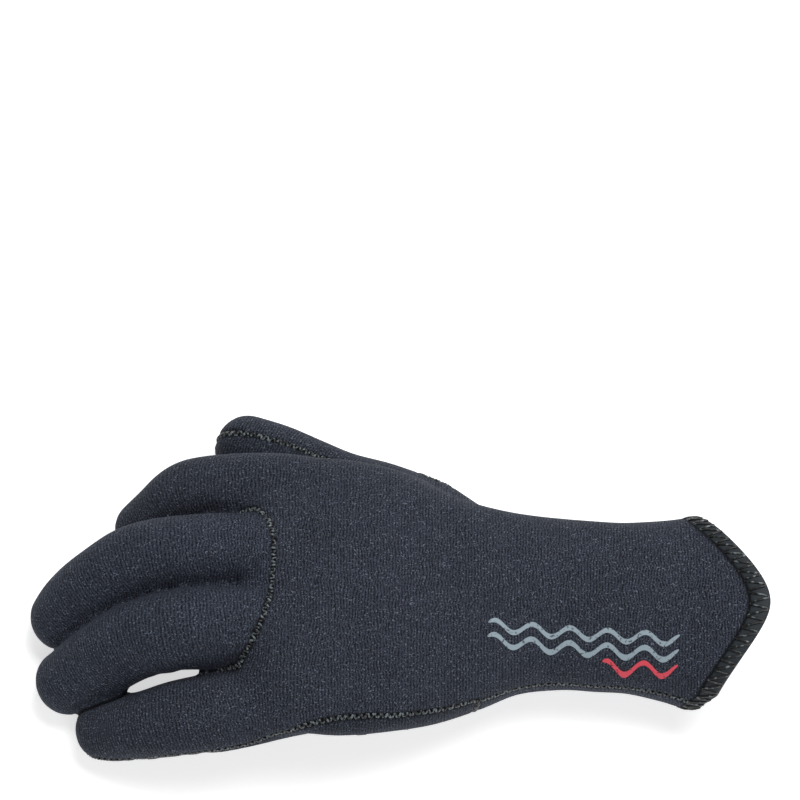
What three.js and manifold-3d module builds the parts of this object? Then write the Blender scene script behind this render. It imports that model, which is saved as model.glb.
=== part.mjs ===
// Left-hand diving glove in 3 mm neoprene, lying palm down with its fingers a little curled.
// Millimetres, +Z up, fingers towards -X, cuff towards +X, thumb towards +Y.
import * as THREE from "three";
import Module from "manifold-3d";

// Driving sizes
const LENGTH = 259;
const KNUCKLE_WIDTH = 101;
const BACK_HEIGHT = 49;
const FINGER_WIDTH = 25;
const WALL = 3;
const SEAM_GAP = 0.3;
const HEM_EXTRA = 0.4;
const PALM_INSIDE = 14;
const BELOW = 20;
const LEAST_CLEARANCE = 0.15;
const DIGIT_SIDES = 14;
const DIGIT_RINGS = 12;
const VEE_DEPTH = 23.8;
const VEE_CENTRE = -3.4;
const VEE_ROUND = 0.2;
const VEE_BACK = 6;
const WRIST_SEAM_LITTLE = 27;
const WRIST_SEAM_THUMB = 14;

// Hand and gauntlet sections, from the finger roots to the cuff
const HAND_SECTIONS = [
  { along: -0.220, across: 0.000, half: 0.337, low: 0.633, mid: 0.694, high: 0.776, vee: 0 },
  { along: -0.207, across: 0.005, half: 0.426, low: 0.551, mid: 0.694, high: 0.857, vee: 0 },
  { along: -0.185, across: 0.008, half: 0.470, low: 0.480, mid: 0.694, high: 0.918, vee: 0 },
  { along: -0.158, across: 0.010, half: 0.490, low: 0.429, mid: 0.694, high: 0.969, vee: 0 },
  { along: -0.124, across: 0.012, half: 0.498, low: 0.378, mid: 0.684, high: 0.992, vee: 0 },
  { along: -0.085, across: 0.012, half: 0.498, low: 0.316, mid: 0.653, high: 1.000, vee: 0 },
  { along: -0.031, across: 0.014, half: 0.481, low: 0.204, mid: 0.602, high: 0.988, vee: 0 },
  { along: 0.023, across: 0.016, half: 0.445, low: 0.092, mid: 0.541, high: 0.951, vee: 0 },
  { along: 0.069, across: 0.008, half: 0.402, low: 0.016, mid: 0.490, high: 0.906, vee: 0 },
  { along: 0.116, across: 0.010, half: 0.358, low: -0.018, mid: 0.449, high: 0.865, vee: 0 },
  { along: 0.162, across: 0.022, half: 0.321, low: -0.024, mid: 0.424, high: 0.841, vee: 0 },
  { along: 0.216, across: 0.026, half: 0.304, low: -0.024, mid: 0.412, high: 0.829, vee: 0 },
  { along: 0.263, across: 0.016, half: 0.303, low: -0.024, mid: 0.408, high: 0.829, vee: 0.04 },
  { along: 0.301, across: 0.008, half: 0.305, low: -0.024, mid: 0.408, high: 0.833, vee: 0.22 },
  { along: 0.336, across: 0.000, half: 0.311, low: -0.024, mid: 0.412, high: 0.843, vee: 0.55 },
  { along: 0.363, across: -0.007, half: 0.323, low: -0.024, mid: 0.420, high: 0.857, vee: 0.86 },
  { along: 0.382, across: -0.011, half: 0.333, low: -0.024, mid: 0.429, high: 0.871, vee: 1.0 },
];

// Cuff hem sections, from the seam to the free edge
const HEM_SECTIONS = [
  { along: 0.384, across: -0.011, half: 0.334, low: -0.024, mid: 0.429, high: 0.873, vee: 1.0 },
  { along: 0.396, across: -0.013, half: 0.344, low: -0.024, mid: 0.433, high: 0.888, vee: 1.0 },
  { along: 0.405, across: -0.014, half: 0.350, low: -0.024, mid: 0.437, high: 0.898, vee: 1.0 },
  { along: 0.409, across: -0.014, half: 0.343, low: -0.010, mid: 0.437, high: 0.884, vee: 1.0 },
];

// Index finger, from inside the hand to where its tip starts to round
const INDEX_FINGER = [
  { along: -0.062, across: 0.386, up: 0.661, wide: 0.360, thick: 0.300 },
  { along: -0.108, across: 0.400, up: 0.678, wide: 0.440, thick: 0.384 },
  { along: -0.162, across: 0.410, up: 0.665, wide: 0.488, thick: 0.456 },
  { along: -0.232, across: 0.414, up: 0.592, wide: 0.488, thick: 0.472 },
  { along: -0.286, across: 0.394, up: 0.449, wide: 0.480, thick: 0.464 },
  { along: -0.320, across: 0.360, up: 0.302, wide: 0.472, thick: 0.456 },
  { along: -0.346, across: 0.331, up: 0.196, wide: 0.452, thick: 0.440 },
];

// Middle finger
const MIDDLE_FINGER = [
  { along: -0.062, across: 0.145, up: 0.673, wide: 0.400, thick: 0.340 },
  { along: -0.116, across: 0.160, up: 0.714, wide: 0.480, thick: 0.432 },
  { along: -0.170, across: 0.168, up: 0.743, wide: 0.516, thick: 0.492 },
  { along: -0.232, across: 0.170, up: 0.759, wide: 0.520, thick: 0.504 },
  { along: -0.305, across: 0.162, up: 0.739, wide: 0.520, thick: 0.504 },
  { along: -0.359, across: 0.137, up: 0.641, wide: 0.516, thick: 0.504 },
  { along: -0.405, across: 0.093, up: 0.482, wide: 0.508, thick: 0.496 },
  { along: -0.436, across: 0.055, up: 0.331, wide: 0.496, thick: 0.480 },
  { along: -0.458, across: 0.028, up: 0.204, wide: 0.472, thick: 0.456 },
];

// Ring finger
const RING_FINGER = [
  { along: -0.062, across: -0.109, up: 0.673, wide: 0.400, thick: 0.340 },
  { along: -0.116, across: -0.097, up: 0.706, wide: 0.488, thick: 0.432 },
  { along: -0.170, across: -0.095, up: 0.731, wide: 0.528, thick: 0.488 },
  { along: -0.232, across: -0.097, up: 0.735, wide: 0.536, thick: 0.504 },
  { along: -0.293, across: -0.109, up: 0.686, wide: 0.532, thick: 0.504 },
  { along: -0.351, across: -0.141, up: 0.571, wide: 0.520, thick: 0.504 },
  { along: -0.398, across: -0.178, up: 0.416, wide: 0.504, thick: 0.492 },
  { along: -0.429, across: -0.206, up: 0.294, wide: 0.488, thick: 0.476 },
  { along: -0.452, across: -0.224, up: 0.206, wide: 0.464, thick: 0.452 },
];

// Little finger
const LITTLE_FINGER = [
  { along: -0.062, across: -0.327, up: 0.612, wide: 0.380, thick: 0.300 },
  { along: -0.116, across: -0.347, up: 0.604, wide: 0.448, thick: 0.400 },
  { along: -0.170, across: -0.364, up: 0.584, wide: 0.484, thick: 0.448 },
  { along: -0.232, across: -0.385, up: 0.543, wide: 0.492, thick: 0.464 },
  { along: -0.293, across: -0.400, up: 0.469, wide: 0.484, thick: 0.460 },
  { along: -0.340, across: -0.408, up: 0.363, wide: 0.468, thick: 0.448 },
  { along: -0.375, across: -0.415, up: 0.253, wide: 0.440, thick: 0.432 },
  { along: -0.398, across: -0.417, up: 0.190, wide: 0.408, thick: 0.412 },
];

// Thumb, from inside the ball of the thumb
const THUMB = [
  { along: 0.093, across: 0.228, up: 0.429, wide: 0.560, thick: 0.520 },
  { along: 0.035, across: 0.321, up: 0.396, wide: 0.584, thick: 0.568 },
  { along: -0.023, across: 0.402, up: 0.347, wide: 0.560, thick: 0.548 },
  { along: -0.077, across: 0.471, up: 0.290, wide: 0.528, thick: 0.520 },
  { along: -0.124, across: 0.537, up: 0.253, wide: 0.512, thick: 0.504 },
  { along: -0.166, across: 0.588, up: 0.237, wide: 0.508, thick: 0.500 },
  { along: -0.201, across: 0.616, up: 0.224, wide: 0.488, thick: 0.480 },
];

// How far each rounded tip reaches past its last section
const TIP = {
  index: 0.384,
  middle: 0.408,
  ring: 0.416,
  little: 0.392,
  thumb: 0.448,
};

// Where the seam round the palm lies, above the middle of the fingers and out on the thumb
const PALM_SEAM = [
  { along: -0.255, littleLift: 0.000, indexLift: 0.000, outer: 0.653, web: 1, sweep: -1 },
  { along: -0.239, littleLift: 0.000, indexLift: 0.000, outer: 0.650, web: 1, sweep: 0 },
  { along: -0.220, littleLift: 0.004, indexLift: 0.000, outer: 0.644, web: 1, sweep: 0 },
  { along: -0.201, littleLift: 0.010, indexLift: 0.000, outer: 0.636, web: 1, sweep: 0 },
  { along: -0.178, littleLift: 0.029, indexLift: 0.000, outer: 0.622, web: 1, sweep: 0 },
  { along: -0.154, littleLift: 0.051, indexLift: 0.000, outer: 0.600, web: 1, sweep: 0 },
  { along: -0.108, littleLift: 0.082, indexLift: 0.000, outer: 0.549, web: 1, sweep: 0 },
  { along: -0.085, littleLift: 0.094, indexLift: 0.000, outer: 0.521, web: 1, sweep: 1 },
  { along: -0.069, littleLift: 0.098, indexLift: 0.000, outer: 0.501, web: 0, sweep: 1 },
  { along: -0.039, littleLift: 0.098, indexLift: 0.000, outer: 0.467, web: 0, sweep: 0 },
  { along: -0.012, littleLift: 0.098, indexLift: 0.000, outer: 0.455, web: 0, sweep: 0 },
  { along: 0.019, littleLift: 0.094, indexLift: 0.000, outer: 0.530, web: 0.1, sweep: -1.5 },
  { along: 0.046, littleLift: 0.082, indexLift: 0.000, outer: 0.752, web: 0.6, sweep: -1.5 },
  { along: 0.093, littleLift: 0.065, indexLift: 0.000, outer: 0.891, web: 1, sweep: 0 },
];

// The curved seam behind the knuckles, seen from above
const KNUCKLE_SEAM = [
  { along: -0.263, lower: -0.416, upper: 0.515 },
  { along: -0.232, lower: -0.327, upper: 0.416 },
  { along: -0.220, lower: -0.267, upper: 0.366 },
  { along: -0.197, lower: -0.183, upper: 0.312 },
  { along: -0.183, lower: -0.114, upper: 0.277 },
  { along: -0.174, lower: -0.035, upper: 0.233 },
  { along: -0.169, lower: 0.059, upper: 0.168 },
];

// Height of the seam down the little-finger side of the gauntlet
const SIDE_SEAM = [
  { along: 0.077, up: 0.547 },
  { along: 0.116, up: 0.498 },
  { along: 0.162, up: 0.441 },
  { along: 0.216, up: 0.416 },
  { along: 0.270, up: 0.412 },
  { along: 0.324, up: 0.424 },
  { along: 0.432, up: 0.441 },
];

const digits = [
  [INDEX_FINGER, TIP.index],
  [MIDDLE_FINGER, TIP.middle],
  [RING_FINGER, TIP.ring],
  [LITTLE_FINGER, TIP.little],
  [THUMB, TIP.thumb],
];

const wasm = await Module();
wasm.setup();

// Turns named shares into millimetres
function handRow(row) {
  return {
    x: row.along * LENGTH,
    y: row.across * KNUCKLE_WIDTH,
    half: row.half * KNUCKLE_WIDTH,
    low: row.low * BACK_HEIGHT,
    mid: row.mid * BACK_HEIGHT,
    high: row.high * BACK_HEIGHT,
    vee: row.vee,
  };
}

function digitRow(row) {
  return {
    x: row.along * LENGTH,
    y: row.across * KNUCKLE_WIDTH,
    z: row.up * BACK_HEIGHT,
    wide: row.wide * FINGER_WIDTH,
    thick: row.thick * FINGER_WIDTH,
  };
}

// Smooth value of every column between rows, at t from 0 to 1
function blendRows(rows, t) {
  const last = rows.length - 1;
  const place = Math.min(t * last, last - 1e-9);
  const i = Math.floor(place);
  const f = place - i;
  const a = rows[Math.max(i - 1, 0)];
  const b = rows[i];
  const c = rows[Math.min(i + 1, last)];
  const d = rows[Math.min(i + 2, last)];
  const out = {};
  for (const key of Object.keys(b)) {
    const p = b[key];
    const q = c[key];
    const mp = (q - a[key]) / 2;
    const mq = (d[key] - p) / 2;
    const f2 = f * f;
    const f3 = f2 * f;
    out[key] = (2 * f3 - 3 * f2 + 1) * p + (f3 - 2 * f2 + f) * mp
      + (3 * f2 - 2 * f3) * q + (f3 - f2) * mq;
  }
  return out;
}

function resample(rows, count) {
  const out = [];
  for (let i = 0; i < count; i += 1) {
    out.push(blendRows(rows, i / (count - 1)));
  }
  return out;
}

// Straight-line value of every column of a table at one place along the glove
function rowAt(rows, x) {
  const up = rows[1].x > rows[0].x;
  const list = up ? rows : [...rows].reverse();
  if (x <= list[0].x) {
    return list[0];
  }
  for (let i = 1; i < list.length; i += 1) {
    if (x <= list[i].x) {
      const f = (x - list[i - 1].x) / (list[i].x - list[i - 1].x);
      const out = {};
      for (const key of Object.keys(list[i])) {
        out[key] = list[i - 1][key] * (1 - f) + list[i][key] * f;
      }
      return out;
    }
  }
  return list[list.length - 1];
}

// Closed solid through a row of rings that hold the same number of points
function loft(rings, closed = false) {
  const sides = rings[0].length;
  const points = rings.flat();
  const triangles = [];
  const spans = closed ? rings.length : rings.length - 1;
  for (let i = 0; i < spans; i += 1) {
    const next = (i + 1) % rings.length;
    for (let j = 0; j < sides; j += 1) {
      const k = (j + 1) % sides;
      const a = i * sides + j;
      const b = i * sides + k;
      const c = next * sides + k;
      const d = next * sides + j;
      triangles.push([a, b, c], [a, c, d]);
    }
  }
  if (!closed) {
    const first = new THREE.Vector3();
    const last = new THREE.Vector3();
    rings[0].forEach((p) => first.addScaledVector(p, 1 / sides));
    rings[rings.length - 1].forEach((p) => last.addScaledVector(p, 1 / sides));
    const f = points.push(first) - 1;
    const l = points.push(last) - 1;
    const start = (rings.length - 1) * sides;
    for (let j = 0; j < sides; j += 1) {
      const k = (j + 1) % sides;
      triangles.push([f, k, j], [l, start + j, start + k]);
    }
  }
  return solid(points, triangles);
}

function solid(points, triangles) {
  let volume = 0;
  for (const [a, b, c] of triangles) {
    volume += points[a].dot(new THREE.Vector3().crossVectors(points[b], points[c]));
  }
  const flip = volume < 0;
  const vertProperties = new Float32Array(points.flatMap((p) => [p.x, p.y, p.z]));
  const order = triangles.map(([a, b, c]) => (flip ? [a, c, b] : [a, b, c]));
  const triVerts = new Uint32Array(order.flat());
  return new wasm.Manifold(new wasm.Mesh({ numProp: 3, vertProperties, triVerts }));
}

// How far the cuff edge is drawn out into a point on the back of the wrist
function veeReach(angle, y) {
  const up = Math.sin(angle);
  if (up < 0) {
    return VEE_BACK * up;
  }
  const u = (y - VEE_CENTRE) / (0.345 * KNUCKLE_WIDTH);
  const fall = Math.sqrt(u * u + VEE_ROUND * VEE_ROUND) - VEE_ROUND;
  const straight = VEE_DEPTH * (1 - fall / (Math.sqrt(1 + VEE_ROUND * VEE_ROUND) - VEE_ROUND));
  return Math.max(straight, 0) * Math.min(1, up * 4);
}

function power(value, exponent) {
  return Math.sign(value) * Math.abs(value) ** exponent;
}

function handRing(row, sides, inset, shift = 0) {
  const ring = [];
  for (let j = 0; j < sides; j += 1) {
    const angle = (2 * Math.PI * j) / sides;
    const cy = power(Math.cos(angle), 0.9);
    const cz = power(Math.sin(angle), 0.9);
    const y = row.y + (row.half - inset) * cy;
    const reach = (cz > 0 ? row.high - row.mid : row.mid - row.low) - inset;
    const z = row.mid + reach * cz;
    const x = row.x + shift + row.vee * veeReach(angle, row.y + row.half * cy);
    ring.push(new THREE.Vector3(x, y, z));
  }
  return ring;
}

// The hand and gauntlet as one tube, closed at the finger roots
function handTube(inset, sides, count) {
  const rows = resample(HAND_SECTIONS.map(handRow), count);
  const rings = rows.map((row) => handRing(row, sides, Math.min(inset, 0.75 * (row.mid - row.low))));
  if (inset > 0) {
    const first = rings[0].map((p) => new THREE.Vector3(p.x + 0.6 * inset, p.y, p.z));
    rings[0] = first;
  }
  rings.push(handRing(rows[count - 1], sides, inset || 1.4 * WALL, 3 * inset));
  return loft(rings);
}

// A finger or thumb along its own curve, with a rounded tip.
// A roof cuts it off at that height above its middle, and skip leaves out its first sections.
function digitTube(table, tip, inset, sides, count, roof = Infinity, skip = 0) {
  const rows = resample(table.map(digitRow), count);
  const rings = [];
  let across;
  let upward;
  let along;
  rows.forEach((row, i) => {
    const before = rows[Math.max(i - 1, 0)];
    const after = rows[Math.min(i + 1, rows.length - 1)];
    along = new THREE.Vector3(after.x - before.x, after.y - before.y, after.z - before.z).normalize();
    across = new THREE.Vector3().crossVectors(along, new THREE.Vector3(0, 0, 1)).normalize();
    upward = new THREE.Vector3().crossVectors(across, along);
    if (i >= skip) {
      rings.push(digitRing(row, across, upward, along, sides, row.wide - inset, row.thick - inset, 0, roof));
    }
  });
  const end = rows[rows.length - 1];
  const reach = tip * FINGER_WIDTH - inset;
  for (const turn of [0.35, 0.72, 1.05, 1.32]) {
    const wide = (end.wide - inset) * Math.cos(turn);
    const thick = (end.thick - inset) * Math.cos(turn);
    const out = reach * Math.sin(turn);
    rings.push(digitRing(end, across, upward, along, sides, wide, thick, out, roof));
  }
  return loft(rings);
}

function digitRing(row, across, upward, along, sides, wide, thick, out, roof) {
  const ring = [];
  for (let j = 0; j < sides; j += 1) {
    const angle = (2 * Math.PI * j) / sides;
    const level = thick * Math.sin(angle);
    if (roof === Infinity || Math.sin(angle) < 1e-6) {
      const p = new THREE.Vector3(row.x, row.y, row.z);
      const edge = roof !== Infinity && Math.sin(angle) > -1e-6;
      p.addScaledVector(across, wide * Math.cos(angle));
      p.addScaledVector(upward, edge ? roof : level);
      p.addScaledVector(along, out);
      ring.push(p);
    }
  }
  return ring;
}

// Where the line midway between two fingers crosses the seam height of each
function between(a, b, gap = 0) {
  const drop = (a.z - b.z) / 2;
  const midY = (a.y + b.y) / 2 + gap * Math.sign(drop);
  const lean = (drop * (a.z - b.z)) / (b.y - a.y);
  return [[midY + lean, a.z], [midY - lean, b.z]];
}

// Where the wall between the fingers is followed, as shares of the length
const WEB_STATIONS = [-0.255, -0.239, -0.22, -0.201, -0.178, -0.154];

const FINGERS = [LITTLE_FINGER, RING_FINGER, MIDDLE_FINGER, INDEX_FINGER].map((t) => t.map(digitRow));

function fingersAt(x) {
  return FINGERS.map((rows) => {
    const row = rowAt(rows, x);
    return { y: row.y, z: row.z };
  });
}

// Everything that belongs to the palm side, made larger all round by the given gap
function palmSide(gap) {
  const seam = PALM_SEAM.map((row) => ({
    x: row.along * LENGTH,
    littleLift: row.littleLift * BACK_HEIGHT,
    indexLift: row.indexLift * BACK_HEIGHT,
    outer: row.outer * KNUCKLE_WIDTH,
    web: row.web,
    sweep: row.sweep,
  }));
  const hand = HAND_SECTIONS.map(handRow);
  const rings = seam.map((row, i) => {
    const [little, ring, middle, index] = fingersAt(row.x);
    const body = rowAt(hand, row.x);
    const inHand = THREE.MathUtils.clamp(row.x / (0.135 * LENGTH) + 1.286, 0, 1);
    little.z += (body.mid - little.z) * inHand + row.littleLift;
    index.z += (body.mid - index.z) * inHand + row.indexLift;
    const top = [
      [-0.9 * KNUCKLE_WIDTH, little.z],
      ...between(little, ring, gap),
      ...between(ring, middle, gap),
      ...between(middle, index, gap),
      [row.outer + gap, PALM_INSIDE + (index.z - PALM_INSIDE) * row.web],
    ];
    const outline = [[-0.9 * KNUCKLE_WIDTH, -BELOW], ...top.map(([y, z]) => [y, z + gap]), [row.outer + gap, -BELOW]];
    const last = i === seam.length - 1;
    return outline.map(([y, z]) => {
      const side = THREE.MathUtils.clamp(0.5 + y / (0.79 * KNUCKLE_WIDTH), 0, 1);
      const end = WRIST_SEAM_LITTLE + (WRIST_SEAM_THUMB - WRIST_SEAM_LITTLE) * side + gap;
      return new THREE.Vector3(last ? end : Math.min(row.x + row.sweep * gap, end - 0.5), y, z);
    });
  });
  const swell = -LEAST_CLEARANCE - gap / 4;
  let side = loft(rings);
  for (const [table, tip] of digits.slice(0, 4)) {
    side = side.add(digitTube(table, tip, swell, DIGIT_SIDES, DIGIT_RINGS, gap, 4));
  }
  return side;
}

// Everything over the middle and ring fingers, ahead of the curved seam
function knuckleSide(gap) {
  const wedge = WEB_STATIONS.map((share) => {
    const x = share * LENGTH;
    const [little, ring, middle, index] = fingersAt(x);
    const low = between(little, ring);
    const high = between(middle, index);
    return wallPair(x, low[0], low[1], high[0], high[1], gap);
  });
  const arc = KNUCKLE_SEAM.map((row) => {
    const lower = row.lower * KNUCKLE_WIDTH;
    const upper = row.upper * KNUCKLE_WIDTH;
    return wallPair(row.along * LENGTH + gap, [lower, 0], [lower, 10], [upper, 10], [upper, 0], gap);
  });
  const swell = -LEAST_CLEARANCE - gap / 4;
  let side = loft(wedge).intersect(loft(arc));
  for (const [table, tip] of digits.slice(1, 3)) {
    side = side.add(digitTube(table, tip, swell, DIGIT_SIDES, DIGIT_RINGS, Infinity, 4));
  }
  return side;
}

// Two walls, each through two points of the section, from far below to far above
function wallPair(x, a, b, c, d, gap) {
  const at = (p, q, z) => {
    const rise = q[1] - p[1];
    const slope = Math.abs(rise) < 1 ? 0 : (q[0] - p[0]) / rise;
    return p[0] + (z - p[1]) * slope;
  };
  const levels = [0.1, 0.5, 0.8, 1.5].map((share) => share * BACK_HEIGHT);
  const lower = levels.map((z) => new THREE.Vector3(x, at(a, b, z) - gap, z));
  const upper = levels.map((z) => new THREE.Vector3(x, at(c, d, z) + gap, z));
  return [...lower, ...upper.reverse()];
}

// A thin cut down the little-finger side of the gauntlet
function sideSlit() {
  const rings = SIDE_SEAM.map((row) => {
    const x = row.along * LENGTH;
    const z = row.up * BACK_HEIGHT;
    return [
      new THREE.Vector3(x, -0.7 * KNUCKLE_WIDTH, z),
      new THREE.Vector3(x, -0.7 * KNUCKLE_WIDTH, z + SEAM_GAP),
      new THREE.Vector3(x, -0.12 * KNUCKLE_WIDTH, z + SEAM_GAP),
      new THREE.Vector3(x, -0.12 * KNUCKLE_WIDTH, z),
    ];
  });
  return loft(rings);
}

function slab(low, high) {
  const rings = [low.z, high.z].map((z) => [
    new THREE.Vector3(low.x, low.y, z),
    new THREE.Vector3(high.x, low.y, z),
    new THREE.Vector3(high.x, high.y, z),
    new THREE.Vector3(low.x, high.y, z),
  ]);
  return loft(rings);
}

// The folded band round the cuff edge
function hemBand(sides) {
  const rows = HEM_SECTIONS.map(handRow);
  const outer = rows.map((row) => handRing(row, sides, 0));
  const inner = rows.map((row) => handRing(row, sides, WALL + HEM_EXTRA));
  const profile = [...outer, ...inner.reverse()];
  return loft(profile, true);
}

const floor = slab(
  new THREE.Vector3(-LENGTH, -LENGTH, 0),
  new THREE.Vector3(LENGTH, LENGTH, LENGTH),
);
let outside = handTube(0, 32, 17);
let inside = handTube(WALL, 26, 14);
for (const [table, tip] of digits) {
  outside = outside.add(digitTube(table, tip, 0, DIGIT_SIDES, DIGIT_RINGS));
  inside = inside.add(digitTube(table, tip, WALL, 10, 9));
}
const glove = outside.subtract(inside).intersect(floor);
const palm = glove.intersect(palmSide(0));
const rest = glove.subtract(palmSide(SEAM_GAP));
const knuckle = rest.intersect(knuckleSide(0));
const back = rest.subtract(knuckleSide(SEAM_GAP)).subtract(sideSlit());
const hem = hemBand(32).intersect(floor);

// One named mesh for each piece
const group = new THREE.Group();
group.name = "diving_glove";

function addPiece(name, body, colour, roughness) {
  const mesh = body.getMesh();
  const geometry = new THREE.BufferGeometry();
  geometry.setAttribute("position", new THREE.BufferAttribute(new Float32Array(mesh.vertProperties), 3));
  geometry.setIndex(new THREE.BufferAttribute(new Uint32Array(mesh.triVerts), 1));
  geometry.computeVertexNormals();
  const material = new THREE.MeshStandardMaterial({ color: colour, roughness, metalness: 0 });
  const piece = new THREE.Mesh(geometry, material);
  piece.name = name;
  group.add(piece);
}

addPiece("back_panel", back, 0x2e3138, 0.85);
addPiece("knuckle_panel", knuckle, 0x31343c, 0.85);
addPiece("palm_panel", palm, 0x22252b, 0.7);
addPiece("cuff_hem", hem, 0x1d2224, 0.55);

// The glove's footprint is centred on the origin
const footprint = new THREE.Box3().setFromObject(group).getCenter(new THREE.Vector3());
group.children.forEach((piece) => piece.geometry.translate(-footprint.x, -footprint.y, 0));

export default group;
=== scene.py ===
"""Left-hand diving glove in knitted neoprene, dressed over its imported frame."""

import math

import bmesh
import bpy
import numpy as np
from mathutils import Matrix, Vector
from mathutils.bvhtree import BVHTree
from mathutils.geometry import barycentric_transform


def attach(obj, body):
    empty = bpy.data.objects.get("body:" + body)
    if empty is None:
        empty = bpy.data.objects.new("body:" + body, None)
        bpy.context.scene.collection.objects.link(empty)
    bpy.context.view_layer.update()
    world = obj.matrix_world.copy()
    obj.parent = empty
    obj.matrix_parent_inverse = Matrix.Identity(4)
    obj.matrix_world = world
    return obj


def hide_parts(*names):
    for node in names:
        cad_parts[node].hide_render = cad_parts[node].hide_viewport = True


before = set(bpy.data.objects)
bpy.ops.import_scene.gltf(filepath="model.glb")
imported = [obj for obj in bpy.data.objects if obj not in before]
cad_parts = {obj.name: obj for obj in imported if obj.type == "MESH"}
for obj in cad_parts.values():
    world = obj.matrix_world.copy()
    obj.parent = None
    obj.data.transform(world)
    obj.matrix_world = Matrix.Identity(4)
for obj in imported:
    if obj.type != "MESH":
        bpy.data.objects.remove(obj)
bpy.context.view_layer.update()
bpy.ops.object.select_all(action="DESELECT")
MM = 0.001

# ---------------------------------------------------------------- glove form
# The glove as one soft form before it is cut into its panels: hand, gauntlet
# and five curled fingers of 3 mm neoprene, blended where they are sewn together.
# The base is pressed flat by what the glove lies on.
MIDDLE_LINE = np.array((0.037, -10.674, 0.0))
WALL = 3.0
SQUARENESS = 0.9  # 1 would make the hand's sections plain ellipses
HAND_ROWS = (  # along, across, half width, underside, widest height, back, cuff point
    (-57, 0, 34, 31, 34, 38, 0),
    (-53.5, 0.5, 43, 27, 34, 42, 0),
    (-48, 0.8, 47.5, 23.5, 34, 45, 0),
    (-41, 1, 49.5, 21, 34, 47.5, 0),
    (-32, 1.7, 49.9, 18.5, 33.5, 48.6, 0),
    (-22, 1.7, 49.9, 15.5, 32, 49, 0),
    (-8, 1.8, 48.3, 10, 29.5, 48.4, 0),
    (6, 1.6, 44.9, 4.5, 26.5, 46.6, 0),
    (18, 0.9, 40.2, 0.8, 24, 44.4, 0),
    (30, 1.5, 35.6, -0.9, 22, 42.4, 0),
    (42, 2.7, 31.9, -1.2, 20.8, 41.2, 0),
    (56, 3.0, 30.3, -1.2, 20.2, 40.6, 0),
    (68, 2.2, 30.1, -1.2, 20, 40.6, 0.04),
    (78, 1.5, 30.2, -1.2, 20, 40.8, 0.22),
    (87, 0.7, 31.4, -1.2, 20.2, 41.3, 0.55),
    (94, 0, 32.6, -1.2, 20.6, 42, 0.86),
    (98.4, -0.6, 33.6, -1.2, 21, 42.9, 1),
    (103.4, -0.7, 34.1, -1.2, 21.2, 43.7, 1),
    (109, -0.7, 34.1, -1.2, 21.2, 43.7, 1),
    (142, -0.7, 34.1, -1.2, 21.2, 43.7, 0),
)
CUFF_ROW = 16  # the row where the cloth ends; what lies past it is cut away
DIGIT_ROWS = {  # along, across, height, half width, half thickness
    "index": (
        (-16, 39, 32.4, 9, 7.5),
        (-28, 40.4, 33.2, 11, 9.6),
        (-42, 41.4, 32.6, 12.2, 11.4),
        (-60, 42, 29.4, 12.2, 11.8),
        (-74, 41.9, 23.4, 12, 11.6),
        (-83, 36.7, 15.2, 11.8, 11.4),
        (-89.5, 33.2, 9.5, 11.3, 11),
    ),
    "middle": (
        (-16, 14.6, 33, 10, 8.5),
        (-30, 16.2, 35, 12, 10.8),
        (-44, 17, 36.4, 12.9, 12.3),
        (-60, 17.2, 37.2, 13, 12.6),
        (-79, 16.2, 36, 13, 12.6),
        (-93, 13.9, 31.2, 12.9, 12.6),
        (-105, 8.8, 23.6, 12.7, 12.4),
        (-113, 4.4, 16.2, 12.4, 12),
        (-118, 0.6, 10, 11.8, 11.4),
    ),
    "ring": (
        (-16, -11, 33, 10, 8.5),
        (-30, -9.8, 34.6, 12.2, 10.8),
        (-44, -9.6, 36, 13.2, 12.2),
        (-60, -10.2, 37, 13.9, 12.6),
        (-76, -11.6, 35.8, 14.4, 12.6),
        (-91, -13.3, 30, 13.7, 12.6),
        (-103, -17.4, 21.2, 13.1, 12.3),
        (-111, -20.8, 14.6, 12.4, 11.9),
        (-115.8, -22.4, 10.1, 11.6, 11.3),
    ),
    "little": (
        (-16, -33, 30, 9.5, 7.5),
        (-30, -35, 29.6, 11.2, 10),
        (-44, -36.4, 28.8, 12.5, 11.6),
        (-60, -38.1, 27, 13.9, 12.2),
        (-76, -39.9, 23.9, 13.3, 12.2),
        (-88, -40.7, 18.4, 11.8, 11.8),
        (-97, -39.9, 12.8, 11.6, 11.3),
        (-102.5, -39, 9.7, 11.2, 10.7),
    ),
    "thumb": (
        (24, 24, 21, 14, 13),
        (9, 34.2, 19.4, 14.6, 14.2),
        (-6, 41.4, 17, 14, 13.7),
        (-20, 47.2, 14.2, 13, 13),
        (-32, 53.2, 12.4, 12.7, 12.6),
        (-43, 58.8, 11.6, 12.5, 12.5),
        (-54.0, 63.2, 11.2, 11.8, 12.1),
    ),
}
TIP_REACH = {"index": 9.6, "middle": 10.2, "ring": 10.4, "little": 9.8, "thumb": 11.2}
# The short web of cloth between the ring and little fingers, and how far its end rounds out
WEB_ROWS = ((-40, -23, 32, 5, 6), (-54, -24.2, 31, 4.8, 5.4), (-64, -25.8, 29.4, 3.4, 4.0))
WEB_REACH = 2.4
# Folds on the palm side of a bent digit: share of its length, depth
BEND_FOLDS = ((0.5, 1.1), (0.56, 0.8), (0.76, 1.0), (0.82, 0.6))
FOLD_WIDTH = 0.013
TIP_TURNS = (0.2, 0.42, 0.64, 0.86, 1.06, 1.24, 1.4)
# The point of the cuff on the back of the wrist, and the dip opposite it
VEE_DEPTH = 22.2
VEE_MIDDLE = -3.4
VEE_ROUND = 0.32
VEE_BACK = 6.0
VEE_HALF = 34.8
SKIN_STEP = 1.15
PRINT_CLEARANCE = 0.28
CREASE_WIDTH = 3.2
CREASE_DEPTH = 3.2
CREASE_START = -46
CREASE_FADE = 9


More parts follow.
